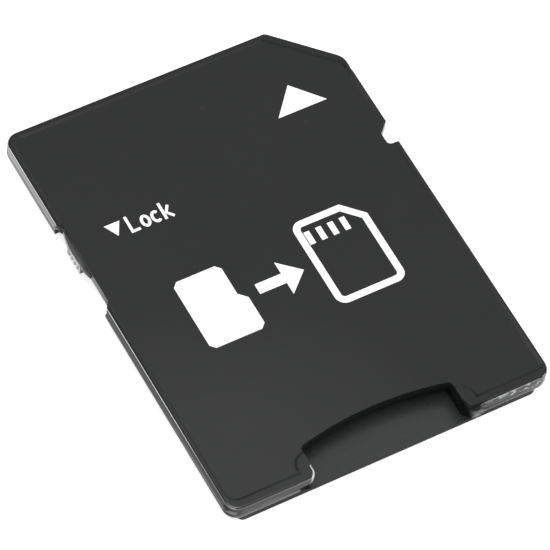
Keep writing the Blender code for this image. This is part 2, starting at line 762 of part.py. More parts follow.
def make_retention_spring():
    """The leaf spring beside the slot: a flat strip on edge, with one bump that stands into the slot."""
    count = 24
    back = HALF_SLOT + SPRING_WALL + SPRING_ROOM - SPRING_GAP - SPRING_THICK / 2
    line = []
    for k in range(count + 1):
        along = SPRING_LENGTH * (k / count - 0.5)
        phase = 2 * math.pi * along / SPRING_BUMP_WIDTH
        bump = (1 + math.cos(phase)) / 2 if abs(along) < SPRING_BUMP_WIDTH / 2 else 0.0
        line.append((back - SPRING_BUMP * bump, SPRING_AT + along))
    low = SLOT_FLOOR + 2 * SPRING_GAP
    shape = bmesh.new()
    bottom = [shape.verts.new((x, y, low)) for x, y in line]
    top = [shape.verts.new((x, y, SHELL_TOP - SPRING_GAP)) for x, y in line]
    for k in range(count):
        shape.faces.new((bottom[k], bottom[k + 1], top[k + 1], top[k]))
    bmesh.ops.recalc_face_normals(shape, faces=shape.faces)
    mesh = bpy.data.meshes.new("retention_spring")
    shape.to_mesh(mesh)
    shape.free()
    spring = bpy.data.objects.new("retention_spring", mesh)
    CUTTERS.objects.link(spring)
    wall = spring.modifiers.new("thickness", "SOLIDIFY")
    wall.thickness = SPRING_THICK
    wall.offset = 0
    wall.use_even_offset = True
    return keep(spring, material("spring_steel", STEEL, 0.3, 1.0))


def slider_cap_outline():
    """The slider's top: straight along the notch's wall and bulged outwards, blunt at both ends."""
    inner = LOCK_WALL - SLIDE_CLEARANCE
    outer = -HALF_WIDTH + CAP_MARGIN
    bulge = [
        (outer + SLIDER_BULGE * (2 * k / 10 - 1) ** 2, SLIDER_FRONT - SLIDER_LENGTH * k / 10, 0.0)
        for k in range(11)
    ]
    return rounded([(inner, SLIDER_REAR, 0.0), (inner, SLIDER_FRONT, 0.0)] + bulge)


def slider_grip_outline():
    """The slider's grip below its cap: a ramp at its front, then ribs with grooves between them."""
    inner = LOCK_WALL - SLIDE_CLEARANCE - CAP_MARGIN
    outer = -HALF_WIDTH + GRIP_INSET
    front = GRIP_REAR + GRIP_LENGTH
    pitch = GRIP_LENGTH / (GRIP_GROOVES + 0.5)
    ribs = []
    for k in range(GRIP_GROOVES):
        start = front - pitch * (k + 0.5)
        ribs += [
            (outer, start, 0.0),
            (outer + GRIP_DEPTH, start - pitch / 6, 0.0),
            (outer + GRIP_DEPTH, start - pitch / 3, 0.0),
            (outer, start - pitch / 2, 0.0),
        ]
    return rounded(
        [
            (inner, GRIP_REAR, 0.0),
            (inner, front + GRIP_RAMP, 0.0),
            (outer, front, 0.0),
        ]
        + ribs
        + [(outer, GRIP_REAR, 0.0)]
    )


def make_lock_slider():
    """The lock slider at its unlocked end: cap, ribbed grip and hooked foot, with its origin on its slide."""
    under_cover = SHELL_TOP - SLIDE_CLEARANCE
    cap_bottom = SLIDER_TOP - CAP_THICK
    neck_side = HOOK_SIDE + FOOT_THICK / 2
    cap = slab("lock_slider", slider_cap_outline(), cap_bottom, SLIDER_TOP, round_high=CAP_ROUND)
    grip = slab("slider_grip", slider_grip_outline(), SLIDER_BOTTOM, cap_bottom + CAP_THICK / 2)
    neck = slab(
        "slider_neck",
        box_outline(LOCK_WALL - LOCK_DEPTH / 2, neck_side, FOOT_REAR, FOOT_FRONT),
        NECK_BOTTOM,
        under_cover,
    )
    hook = slab(
        "slider_hook",
        box_outline(HOOK_SIDE, HOOK_SIDE + FOOT_THICK, FOOT_REAR + CAP_MARGIN, FOOT_FRONT - CAP_MARGIN),
        HOOK_BOTTOM,
        under_cover - CAP_MARGIN,
    )
    origin = Vector((LOCK_WALL, SLIDER_MIDDLE, SEAM_HEIGHT))
    cap.data.transform(Matrix.Translation(-origin))
    cap.location = origin
    combine(cap, [grip, neck, hook], "UNION")
    return keep(cap, material("slider", SLIDER_GREY, 0.35))


make_top_shell()
make_bottom_shell()
make_carrier()
plating = material("gold_plating", GOLD, 0.25, 1.0)
for number, (pad, tongue) in enumerate(zip(LEAD_PADS, tongue_places()), 1):
    make_lead(number, pad, tongue, plating)
make_retention_spring()
make_lock_slider()
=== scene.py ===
"""A memory card adapter, seen from its label side as it lies on a plain white surface."""

import math

import bmesh
import bpy
import numpy as np
from mathutils import Matrix, Vector


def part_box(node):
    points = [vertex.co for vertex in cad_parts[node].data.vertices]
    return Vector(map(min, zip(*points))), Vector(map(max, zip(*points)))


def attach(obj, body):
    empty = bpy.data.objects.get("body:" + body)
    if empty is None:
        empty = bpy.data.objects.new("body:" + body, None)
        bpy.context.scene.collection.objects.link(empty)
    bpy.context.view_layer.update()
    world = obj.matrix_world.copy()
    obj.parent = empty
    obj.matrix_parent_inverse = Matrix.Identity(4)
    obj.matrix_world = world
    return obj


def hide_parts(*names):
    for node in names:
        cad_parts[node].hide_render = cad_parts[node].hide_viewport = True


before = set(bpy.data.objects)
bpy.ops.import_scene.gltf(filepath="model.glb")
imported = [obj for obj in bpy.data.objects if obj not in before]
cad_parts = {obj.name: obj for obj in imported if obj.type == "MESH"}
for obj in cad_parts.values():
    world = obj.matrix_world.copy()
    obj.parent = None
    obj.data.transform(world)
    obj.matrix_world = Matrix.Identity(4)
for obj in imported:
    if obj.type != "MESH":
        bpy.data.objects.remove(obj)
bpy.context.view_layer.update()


# Lengths are in metres, and the print's are in millimetres. A facing is the part of a normal along one
# axis, or along the sum of two, and a pair of facings or places is the span over which a mask fades.
MERGE_WITHIN = 1e-6
FLAT_WITHIN = 0.001
SHARP_ANGLE = math.radians(30)
FACE_WEIGHT = 90
LEVEL_LEAST = 0.9999
FIELD_SINK = 0.05e-3
FIELD_RUN = 0.20e-3
FIELD_BORDER = math.cos(math.atan2(FIELD_SINK, FIELD_RUN))
BORDER_WITHIN = 0.001


def moulded_copy(node, name):
    """A node's mesh with its loose triangles joined, its rounds shaded smooth and its flats left flat.
    The label field's shallow border keeps its own facets, because smoothing would hide it."""
    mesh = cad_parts[node].data.copy()
    mesh.materials.clear()
    shape = bmesh.new()
    shape.from_mesh(mesh)
    bmesh.ops.remove_doubles(shape, verts=shape.verts, dist=MERGE_WITHIN)
    bmesh.ops.dissolve_limit(shape, angle_limit=FLAT_WITHIN, verts=shape.verts, edges=shape.edges)
    shape.to_mesh(mesh)
    shape.free()
    mesh.shade_smooth()
    mesh.set_sharp_from_angle(angle=SHARP_ANGLE)
    facing = [face.normal.z for face in mesh.polygons]
    level = {index for index, z in enumerate(facing) if z > LEVEL_LEAST}
    border = {index for index, z in enumerate(facing) if abs(z - FIELD_BORDER) < BORDER_WITHIN}
    sides = {}
    for face in mesh.polygons:
        for edge in face.edge_keys:
            sides.setdefault(edge, []).append(face.index)
    for edge in mesh.edges:
        first, second = sides[edge.key]
        if {first, second} & level and {first, second} & border:
            edge.use_edge_sharp = True
    piece = bpy.data.objects.new(name, mesh)
    bpy.context.scene.collection.objects.link(piece)
    normals = piece.modifiers.new("flat_faces", "WEIGHTED_NORMAL")
    normals.keep_sharp = True
    normals.weight = FACE_WEIGHT
    return piece


NOISE_SPAN = (0.3, 0.7)


class Nodes:
    """A node tree that grows by functions."""

    def __init__(self, tree):
        self.tree = tree

    def add(self, kind, inputs=None, **settings):
        """A new node with its settings, and with plain values on some of its inputs."""
        node = self.tree.nodes.new(kind)
        for key, value in settings.items():
            setattr(node, key, value)
        for key, value in (inputs or {}).items():
            node.inputs[key].default_value = value
        return node

    def join(self, start, end):
        """Links an output to an input."""
        self.tree.links.new(start, end)

    def feed(self, socket, value):
        """Joins an output to an input, or sets the input to a plain value."""
        if isinstance(value, bpy.types.NodeSocket):
            self.join(value, socket)
        else:
            socket.default_value = value

    def math(self, operation, *values):
        """Outputs or plain numbers, joined by an operation."""
        node = self.add("ShaderNodeMath", operation=operation)
        for socket, value in zip(node.inputs, values):
            self.feed(socket, value)
        return node.outputs[0]

    def product(self, first, *others):
        """Values multiplied together."""
        for other in others:
            first = self.math("MULTIPLY", first, other)
        return first

    def between(self, value, low, high, span=NOISE_SPAN):
        """A value's span stretched over the range from low to high. Most noise lies in NOISE_SPAN."""
        start, end = span
        limits = {"From Min": start, "From Max": end, "To Min": low, "To Max": high}
        ramp = self.add("ShaderNodeMapRange", limits)
        self.join(value, ramp.inputs["Value"])
        return ramp.outputs["Result"]

    def masked(self, mask, outside, inside):
        """One value outside a mask and another inside it."""
        return self.between(mask, outside, inside, (0, 1))


NEAR_CORE = 0.5


class Material(Nodes):
    """A new material, with the functions that read a place or a direction on the object."""

    def __init__(self, name):
        self.material = bpy.data.materials.new(name)
        self.material.use_nodes = True
        super().__init__(self.material.node_tree)
        self.shader = self.tree.nodes["Principled BSDF"]

    def axes(self, kind):
        """The parts along X, Y and Z of the place, Object, or of the surface's Normal."""
        source = self.add("ShaderNodeTexCoord")
        parts = self.add("ShaderNodeSeparateXYZ")
        self.join(source.outputs[kind], parts.inputs["Vector"])
        return parts.outputs

    def near(self, point, reach):
        """One about a point of the object, fading to nothing at this reach from it."""
        place = self.add("ShaderNodeTexCoord")
        gap = self.add("ShaderNodeVectorMath", operation="DISTANCE")
        gap.inputs[1].default_value = point
        self.join(place.outputs["Object"], gap.inputs[0])
        return self.between(gap.outputs["Value"], 1.0, 0.0, (NEAR_CORE * reach, reach))

    def noise(self, scale, detail, roughness, stretch=(1, 1, 1)):
        """Noise on the object's own coordinates, with this many features to the metre."""
        place = self.add("ShaderNodeTexCoord")
        turn = self.add("ShaderNodeMapping", {"Scale": stretch})
        settings = {"Scale": scale, "Detail": detail, "Roughness": roughness}
        noise = self.add("ShaderNodeTexNoise", settings)
        self.join(place.outputs["Object"], turn.inputs["Vector"])
        self.join(turn.outputs["Vector"], noise.inputs["Vector"])
        return noise.outputs["Fac"]

    def blend(self, factor, first, second):
        """A colour between two colours."""
        mix = self.add("ShaderNodeMix", data_type="RGBA")
        self.feed(mix.inputs["A"], first)
        self.feed(mix.inputs["B"], second)
        self.join(factor, mix.inputs["Factor"])
        return mix.outputs["Result"]

    def bump(self, height, strength, distance):
        """Raises the surface's shading by a height."""
        bump = self.add("ShaderNodeBump", {"Strength": strength, "Distance": distance})
        self.join(height, bump.inputs["Height"])
        self.join(bump.outputs["Normal"], self.shader.inputs["Normal"])

    def set(self, socket, value):
        """Sets one of the shader's inputs, to an output or to a plain value."""
        self.feed(self.shader.inputs[socket], value)


DRIFT_SCALE = 90
SPOT_SHARE = 0.35
GRAIN_STRENGTH = 0.5
LEVEL_FACING = (0.972, 0.99)
WALL_FACING = (0.1, 0.5)
SIDE_FACING = (0.6, 0.95)
RIM_FACING = (0.35, 0.60)
MOULD_GLOSS = 0.5
RIM_GLOSS = 1.6
WALL_GLOSS = 0.20
RUBBED_GLOSS = 0.05
DULL_SHARE = 0.95
DULL_PLACES = (
    ((6.0e-3, -15.6e-3, 1.7e-3), 1.3e-3),
    ((5.7e-3, -15.2e-3, 0.9e-3), 1.0e-3),
    ((-11.8e-3, 7.35e-3, 1.6e-3), 1.1e-3),
)


class MouldedPlastic(Material):
    """Moulded plastic: colour that drifts between two blacks, and the fine grain of the mould's eroded
    steel on level faces. Edges and walls, which the mould's polished rim shapes, have a roughness of
    their own. Upright walls shine less than level faces, and rims that face the rear left shine more.
    The two long sides, which rub in the host's slot, are dull. So are two places at the mouth's right
    corner and one at the front end of the lock notch."""

    def __init__(self, name, dark, light, roughness, polish, grain, grain_depth):
        super().__init__(name)
        drift = self.noise(DRIFT_SCALE, detail=3.0, roughness=0.55)
        self.colour = self.blend(self.between(drift, 0.0, 1.0), dark, light)
        self.set("Base Color", self.colour)
        self.facing = self.axes("Normal")
        self.level = self.between(self.facing["Z"], 0.0, 1.0, LEVEL_FACING)
        spots = self.noise(grain * SPOT_SHARE, detail=4.0, roughness=0.65)
        finish = self.add("ShaderNodeMix", {"A": polish})
        self.join(self.level, finish.inputs["Factor"])
        self.join(self.between(spots, *roughness), finish.inputs["B"])
        self.set("Roughness", finish.outputs["Result"])
        front_right = self.math("ADD", self.facing["X"], self.facing["Y"])
        self.rear_left = self.math("SUBTRACT", 0.0, front_right)
        self.dulled = self.dull_places()
        self.gloss = self.mould_gloss()
        self.set("Specular IOR Level", self.gloss)
        self.bump(self.noise(grain, detail=3.0, roughness=0.6), GRAIN_STRENGTH, grain_depth)

    def dull_places(self):
        """One over most of the object, and little at the dull places."""
        share = 1.0
        for place, reach in DULL_PLACES:
            beside = self.masked(self.near(place, reach), 1.0, 1.0 - DULL_SHARE)
            share = self.math("MULTIPLY", beside, share)
        return share

    def mould_gloss(self):
        """The gloss of level faces, rims, walls, rubbed sides and dull places."""
        rim = self.between(self.rear_left, 0.0, 1.0, RIM_FACING)
        rim = self.product(rim, self.math("SUBTRACT", 1.0, self.level), RIM_GLOSS - MOULD_GLOSS)
        rim = self.math("ADD", MOULD_GLOSS - WALL_GLOSS, rim)
        wall = self.product(self.between(self.facing["Z"], 0.0, 1.0, WALL_FACING), rim)
        wall = self.math("ADD", wall, WALL_GLOSS)
        sideways = self.math("ABSOLUTE", self.facing["X"])
        rub_and_painted_light = self.between(sideways, 1.0, RUBBED_GLOSS / WALL_GLOSS, SIDE_FACING)
        return self.product(wall, rub_and_painted_light, self.math("MAXIMUM", self.dulled, self.level))


# The label side's shell is one thin moulding in satin black plastic, with a rounded edge all round, a
# shallow field for a label, a thumb recess at the rear and a notch in each side. It is welded to the
# other shell along the seam, on six pegs.
label_plastic = MouldedPlastic(
    "satin_label_side",
    dark=(0.0058, 0.0070, 0.0064, 1),
    light=(0.0078, 0.0088, 0.0082, 1),
    roughness=(0.30, 0.40),
    polish=0.13,
    grain=9000,
    grain_depth=4e-6,
)
label_facing = label_plastic.facing
label_place = label_plastic.axes("Object")

# The rear left corner, where the card is held, is handled smoother than the rest of the face.
HANDLED_AT = (-12e-3, -16e-3, 2.1e-3)
HANDLED_REACH = 17e-3
HANDLED_GLOSS = (0.78, 1.10)

handled = label_plastic.masked(label_plastic.near(HANDLED_AT, HANDLED_REACH), *HANDLED_GLOSS)
handled = label_plastic.product(label_plastic.math("SUBTRACT", handled, 1.0), label_plastic.level)
handled = label_plastic.math("ADD", handled, 1.0)

# The field's border is dull along the cut corner.
CUT_BORDER_AT = (9.7e-3, 13.7e-3, 2.07e-3)
CUT_BORDER_REACH = 7.0e-3
CUT_BORDER_FACING = (0.245, 0.285)
CUT_BORDER_SHARE = 0.18

cut_border = label_plastic.product(
    label_plastic.near(CUT_BORDER_AT, CUT_BORDER_REACH),
    label_plastic.between(label_plastic.rear_left, 0.0, 1.0, CUT_BORDER_FACING),
)
cut_border = label_plastic.masked(cut_border, 1.0, CUT_BORDER_SHARE)
label_plastic.set("Specular IOR Level", label_plastic.product(label_plastic.gloss, handled, cut_border))

# Pale mottled patches are painted on the rear wall towards the cut corner's side, above the seam, as
# painted highlights.
REAR_HIGHLIGHT_COLOUR = (0.34, 0.35, 0.35, 1)
REAR_HIGHLIGHT_FACING = (-0.95, -0.60)
REAR_HIGHLIGHT_ALONG = (6.4e-3, 8.4e-3)
REAR_HIGHLIGHT_ABOVE = (1.50e-3, 1.60e-3)
REAR_HIGHLIGHT_GRAIN = 2600
REAR_HIGHLIGHT_SPREAD = (0.50, 0.60)

rear_highlight_grain = label_plastic.noise(REAR_HIGHLIGHT_GRAIN, detail=3.0, roughness=0.6)
rear_highlight = label_plastic.product(
    label_plastic.between(rear_highlight_grain, 0.0, 1.0, REAR_HIGHLIGHT_SPREAD),
    label_plastic.between(label_facing["Y"], 1.0, 0.0, REAR_HIGHLIGHT_FACING),
    label_plastic.between(label_place["X"], 0.0, 1.0, REAR_HIGHLIGHT_ALONG),
    label_plastic.between(label_place["Z"], 0.0, 1.0, REAR_HIGHLIGHT_ABOVE),
)
dust_and_highlights = label_plastic.blend(rear_highlight, label_plastic.colour, REAR_HIGHLIGHT_COLOUR)

# A pale crescent is painted on the recess's left corner, on its side that faces into the slot, as a
# painted highlight.
CORNER_HIGHLIGHT_COLOUR = (0.50, 0.51, 0.52, 1)
CORNER_HIGHLIGHT_AT = (-5.75e-3, -15.65e-3, 1.8e-3)
CORNER_HIGHLIGHT_REACH = 1.0e-3
CORNER_HIGHLIGHT_FACING = (0.15, 0.40)

corner_highlight = label_plastic.product(
    label_plastic.near(CORNER_HIGHLIGHT_AT, CORNER_HIGHLIGHT_REACH),
    label_plastic.between(label_facing["X"], 0.0, 1.0, CORNER_HIGHLIGHT_FACING),
)
dust_and_highlights = label_plastic.blend(corner_highlight, dust_and_highlights, CORNER_HIGHLIGHT_COLOUR)

# The edge of the slider's notch is painted paler, as a painted highlight.
NOTCH_HIGHLIGHT_COLOUR = (0.13, 0.135, 0.135, 1)
NOTCH_HIGHLIGHT_AT = (-11.6e-3, 4.6e-3, 2.0e-3)
NOTCH_HIGHLIGHT_REACH = 3.5e-3
NOTCH_HIGHLIGHT_FACING = (-0.8, -0.4)
NOTCH_HIGHLIGHT_SIDE = (-11.75e-3, -11.65e-3)

notch_highlight = label_plastic.product(
    label_plastic.near(NOTCH_HIGHLIGHT_AT, NOTCH_HIGHLIGHT_REACH),
    label_plastic.between(label_facing["X"], 1.0, 0.0, NOTCH_HIGHLIGHT_FACING),
    label_plastic.between(label_place["X"], 0.0, 1.0, NOTCH_HIGHLIGHT_SIDE),
)
dust_and_highlights = label_plastic.blend(notch_highlight, dust_and_highlights, NOTCH_HIGHLIGHT_COLOUR)

# Two specks of dust lie in the field.
SPECK_COLOUR = (0.02, 0.02, 0.02, 1)
SPECK_REACH = 0.12e-3
SPECKS = ((1.26e-3, 12.36e-3, 2.05e-3), (7.0e-3, 8.4e-3, 2.05e-3))

for place in SPECKS:
    dust_and_highlights = label_plastic.blend(label_plastic.near(place, SPECK_REACH), dust_and_highlights, SPECK_COLOUR)
# The label side's colour carries the painted highlights above and the two dust specks.
label_plastic.set("Base Color", dust_and_highlights)

label_side = moulded_copy("top_shell", "label_side_shell")
label_side.data.materials.append(label_plastic.material)
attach(label_side, "housing")
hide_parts("top_shell")


# The print on the label field is one pass of white ink, a hundredth of a millimetre thick: a large
# arrowhead that points to the contacts, the lock's legend with its own arrowhead, and a pictogram of
# a small card that goes into a large one.
MM = 1e-3
INK_THICK = 0.01e-3
INK_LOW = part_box("top_shell")[1].z - FIELD_SINK
INK_GREY = (0.86, 0.87, 0.87, 1)
INK_WHITE = (0.93, 0.93, 0.92, 1)
INK_GRAIN = 5200
INK_SPREAD = (0.25, 0.5)
INK_ROUGHNESS = (0.42, 0.55)
INK_STRENGTH = 0.4
INK_DEPTH = 3e-6
POINT_HALF = 0.01

white_ink = Material("white_print")
ink_mottle = white_ink.noise(INK_GRAIN, detail=4.0, roughness=0.7)
ink_shade = white_ink.between(ink_mottle, 0.0, 1.0, INK_SPREAD)
white_ink.set("Base Color", white_ink.blend(ink_shade, INK_GREY, INK_WHITE))
white_ink.set("Roughness", white_ink.between(ink_mottle, *INK_ROUGHNESS))
white_ink.bump(ink_mottle, INK_STRENGTH, INK_DEPTH)


def band(left, right, closed=False):
    """A slab of ink between two edge lines. Station k has the four corners left and right, low and
    high; faces join each station's corners to the next one's, and an open band has a cap at each end."""
    left = np.asarray(left, float) * MM
    right = np.asarray(right, float) * MM
    count = len(left)
    edges = np.stack([left, right, right, left], axis=1)
    heights = np.array([INK_LOW, INK_LOW, INK_LOW + INK_THICK, INK_LOW + INK_THICK])
    heights = np.broadcast_to(heights[None, :, None], (count, 4, 1))
    points = np.concatenate([edges, heights], axis=2).reshape(-1, 3)
    station = np.arange(count if closed else count - 1)[:, None]
    corner = np.arange(4)[None, :]
    onward = (station + 1) % count
    beside = (corner + 1) % 4
    faces = np.stack(
        [station * 4 + corner, station * 4 + beside, onward * 4 + beside, onward * 4 + corner], axis=-1
    ).reshape(-1, 4)
    if not closed:
        caps = np.array([[3, 2, 1, 0], [4 * count - 4, 4 * count - 3, 4 * count - 2, 4 * count - 1]])
        faces = np.concatenate([faces, caps])
    return points, faces


def stroke(path, width, closed=False):
    """A band that follows a path, mitred at its corners: each point moves out along the mean of the
    normals on its two sides, by half the width over the cosine of half the turn."""
    path = np.asarray(path, float)
    along = np.roll(path, -1, axis=0) - path
    along /= np.linalg.norm(along, axis=1)[:, None]
    before = np.roll(along, 1, axis=0)
    if not closed:
        along[-1] = along[-2]
        before[0] = along[0]
    normals = np.stack([-along[:, 1], along[:, 0]], axis=1)
    normals_before = np.stack([-before[:, 1], before[:, 0]], axis=1)
    mitre = normals + normals_before
    mitre /= (mitre * mitre).sum(axis=1)[:, None] / 2
    offset = mitre * width / 2
    return band(path + offset, path - offset, closed)


def arc(centre, radii, start, end, count):
    """Points on an ellipse about a centre, between two angles in degrees."""
    angles = np.radians(np.linspace(start, end, count))
    across = centre[0] + radii[0] * np.cos(angles)
    along = centre[1] + radii[1] * np.sin(angles)
    return np.stack([across, along], axis=1)


def arrowhead(base, apex, half_base):
    """A filled triangle that narrows from its base to its apex."""
    base = np.asarray(base, float)
    apex = np.asarray(apex, float)
    side = np.array([1.0, 0.0])
    left = [base - side * half_base, apex - side * POINT_HALF]
    right = [base + side * half_base, apex + side * POINT_HALF]
    return band(left, right)


def ink_piece(name, bands):
    """One object made of bands of ink."""
    starts = np.cumsum([0] + [len(points) for points, _ in bands])
    points = np.concatenate([points for points, _ in bands])
    faces = np.concatenate([faces + start for (_, faces), start in zip(bands, starts)])
    mesh = bpy.data.meshes.new(name)
    mesh.from_pydata(points.tolist(), [], faces.tolist())
    shape = bmesh.new()
    shape.from_mesh(mesh)
    bmesh.ops.recalc_face_normals(shape, faces=shape.faces)
    shape.to_mesh(mesh)
    shape.free()
    piece = bpy.data.objects.new(name, mesh)
    bpy.context.scene.collection.objects.link(piece)
    mesh.materials.append(white_ink.material)
    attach(piece, "housing")


INSERT_BASE = (7.335, 9.40)
INSERT_APEX = (7.335, 11.51)
INSERT_HALF = 1.865
ink_piece("insert_arrowhead", [arrowhead(INSERT_BASE, INSERT_APEX, INSERT_HALF)])

LOCK_BASE = (-8.60, 6.78)
LOCK_APEX = (-8.60, 5.74)
LOCK_HALF = 0.58
BASELINE = 5.53
CAP_HEIGHT = 1.35
SMALL_HEIGHT = 0.98
STROKE = 0.21
FIRST_STEM_LEFT = -7.70
FOOT_REACH = 0.58
RING_MIDDLE = -6.45
RING_HALF = 0.36
RING_SWEEP = (0, 345)
RING_POINTS = 24
OPEN_RING_MIDDLE = -5.66
OPEN_RING_SWEEP = (45, 315)
OPEN_RING_POINTS = 19
LAST_STEM_LEFT = -5.20
ARM_STROKE = 0.95
ARM_GAP = 0.02
ARMS_MEET = 0.40
ARM_REACH = 0.46
UPPER_ARM_SHARE = 0.85
LOWER_ARM_START = 0.12


def legend():
    """The word beside the slider, in plain strokes: a stem with a foot, a ring, an open ring, and a stem
    with two arms."""
    inside = STROKE / 2
    stem = FIRST_STEM_LEFT + inside
    foot = BASELINE + inside
    first_letter = [(stem, BASELINE + CAP_HEIGHT), (stem, foot), (stem + FOOT_REACH, foot)]
    middle = BASELINE + SMALL_HEIGHT / 2
    radii = (RING_HALF - inside, SMALL_HEIGHT / 2 - inside)
    ring = arc((RING_MIDDLE, middle), radii, *RING_SWEEP, RING_POINTS)
    open_ring = arc((OPEN_RING_MIDDLE, middle), radii, *OPEN_RING_SWEEP, OPEN_RING_POINTS)
    last_stem = LAST_STEM_LEFT + inside
    meet = (last_stem + inside + ARM_GAP, BASELINE + ARMS_MEET * SMALL_HEIGHT)
    upper_end = (meet[0] + ARM_REACH * UPPER_ARM_SHARE, BASELINE + SMALL_HEIGHT)
    lower_start = (meet[0] + LOWER_ARM_START, meet[1] + ARM_GAP)
    lower_end = (meet[0] + ARM_REACH, BASELINE + ARM_GAP)
    return [
        stroke(first_letter, STROKE),
        stroke(ring, STROKE, closed=True),
        stroke(open_ring, STROKE),
        stroke([(last_stem, BASELINE), (last_stem, BASELINE + CAP_HEIGHT)], STROKE),
        stroke([upper_end, meet], STROKE * ARM_STROKE),
        stroke([lower_start, lower_end], STROKE * ARM_STROKE),
    ]


ink_piece("lock_legend", [arrowhead(LOCK_BASE, LOCK_APEX, LOCK_HALF)] + legend())

PICTOGRAM_BASE = -5.40
PICTOGRAM_TOP = 1.60
LARGE_LEFT = 1.95
LARGE_RIGHT = 7.15
LARGE_CUT = 1.25
LARGE_STROKE = 0.5
LARGE_ROUND = 0.5
ROUND_POINTS = 6
PADS = 4
PADS_LEFT = 2.1
PAD_WIDTH = 0.42
PAD_LOW = 1.75
PAD_HIGH = 0.7
SMALL_LEFT = -7.25
SMALL_RIGHT = -3.15
SMALL_STEP = 0.55
SMALL_STEP_AT = 0.45
SMALL_INSET = 0.7
SMALL_ROUND = 0.35
ARROW_TAIL = -2.35
ARROW_TIP = 1.15
ARROW_SHAFT = 0.8
ARROW_HEAD = 1.5
ARROW_HALF = 1.35


def large_card():
    """The outline of a large card with a cut corner, and the pads along its top."""
    half = LARGE_STROKE / 2
    left, right = LARGE_LEFT + half, LARGE_RIGHT - half
    low, high = PICTOGRAM_BASE + half, PICTOGRAM_TOP - half
    radii = (LARGE_ROUND, LARGE_ROUND)
    outline = np.concatenate(
        [
            arc((left + LARGE_ROUND, low + LARGE_ROUND), radii, 180, 270, ROUND_POINTS),
            arc((right - LARGE_ROUND, low + LARGE_ROUND), radii, 270, 360, ROUND_POINTS),
            [(right, high - LARGE_CUT), (right - LARGE_CUT, high)],
            arc((left + LARGE_ROUND, high - LARGE_ROUND), radii, 90, 180, ROUND_POINTS),
        ]
    )
    pads = np.linspace(left + PADS_LEFT * half, right - LARGE_CUT - half, PADS)
    return [
        stroke(outline, LARGE_STROKE, closed=True),
        *[stroke([(x, high - PAD_LOW), (x, high - PAD_HIGH)], PAD_WIDTH) for x in pads],
    ]


def small_card():
    """A filled small card with a step in its right side and its corners cut."""
    low, high = PICTOGRAM_BASE + SMALL_INSET, PICTOGRAM_TOP - SMALL_INSET
    step = low + SMALL_STEP_AT * (high - low)
    heights = (low, low + SMALL_ROUND, step, step + SMALL_STEP, high - SMALL_ROUND, high)
    left = (SMALL_ROUND, 0, 0, 0, 0, SMALL_ROUND)
    right = (SMALL_ROUND, 0, 0, SMALL_STEP, SMALL_STEP, SMALL_STEP + SMALL_ROUND)
    return band(
        [(SMALL_LEFT + inset, height) for inset, height in zip(left, heights)],
        [(SMALL_RIGHT - inset, height) for inset, height in zip(right, heights)],
    )


def arrow():
    """An arrow from the small card to the large one, as a shaft and a head."""
    middle = (PICTOGRAM_BASE + PICTOGRAM_TOP) / 2
    neck = ARROW_TIP - ARROW_HEAD
    upper = [(neck, middle + ARROW_HALF), (ARROW_TIP, middle + POINT_HALF)]
    lower = [(neck, middle - ARROW_HALF), (ARROW_TIP, middle - POINT_HALF)]
    return [stroke([(ARROW_TAIL, middle), (neck, middle)], ARROW_SHAFT), band(upper, lower)]


ink_piece("card_pictogram", [*large_card(), small_card(), *arrow()])


# The contact side's shell is the thicker moulding of the two, in a slightly smoother black: it has the
# guide rails, the slot's floor, the windows over the pads with thin ribs between them, and the wells for
# the pieces inside. Its body below the rails is duller, and its upward faces, the slot's floor among
# them, are painted lighter as painted light that lifts their shade.
contact_plastic = MouldedPlastic(
    "satin_contact_side",
    dark=(0.0055, 0.0062, 0.0062, 1),
    light=(0.0072, 0.0080, 0.0080, 1),
    roughness=(0.24, 0.32),
    polish=0.20,
    grain=7000,
    grain_depth=3e-6,
)
contact_facing = contact_plastic.facing
contact_place = contact_plastic.axes("Object")

BODY_SHADE = (0.62e-3, 0.72e-3)
BODY_GLOSS = 0.03
FLOOR_FACING = (0.8, 0.95)
PAINTED_LIGHT_FLOOR = (0.020, 0.021, 0.021, 1)
MOUTH_HALF = (6.7e-3, 6.9e-3)

above_body = contact_plastic.between(contact_place["Z"], 0.0, 1.0, BODY_SHADE)
from_middle = contact_plastic.math("ABSOLUTE", contact_place["X"])
beside_mouth = contact_plastic.between(from_middle, 0.0, 1.0, MOUTH_HALF)
upward = contact_plastic.between(contact_facing["Z"], 0.0, 1.0, FLOOR_FACING)
rail_gloss = contact_plastic.product(above_body, beside_mouth, contact_plastic.gloss)
floor_gloss = contact_plastic.math("MULTIPLY", upward, MOULD_GLOSS)
body_gloss = contact_plastic.math("MULTIPLY", contact_plastic.dulled, BODY_GLOSS)
contact_gloss = contact_plastic.math("MAXIMUM", rail_gloss, floor_gloss)
contact_plastic.set("Specular IOR Level", contact_plastic.math("MAXIMUM", contact_gloss, body_gloss))
# Painted light: upward faces, the slot's floor among them, get a lighter colour that lifts their shade.
rub_and_painted_light = contact_plastic.blend(upward, contact_plastic.colour, PAINTED_LIGHT_FLOOR)

# Painted highlights: the mouth's right lead-in is painted pale at its outer end, and so is a thin band
# of the rear wall's edge at the seam.
CONTACT_HIGHLIGHT_COLOUR = (0.30, 0.31, 0.32, 1)
LEAD_IN_HIGHLIGHT = 0.8
LEAD_IN_HIGHLIGHT_AT = (6.55e-3, -15.85e-3, 0.85e-3)
LEAD_IN_HIGHLIGHT_REACH = 0.6e-3
LEAD_IN_GRAIN = 2400
LEAD_IN_SPREAD = (0.40, 0.58)
LEAD_IN_LEAST = 0.35
EDGE_HIGHLIGHT = 0.3
EDGE_HIGHLIGHT_LOW = (1.02e-3, 1.06e-3)
EDGE_HIGHLIGHT_HIGH = (1.10e-3, 1.14e-3)

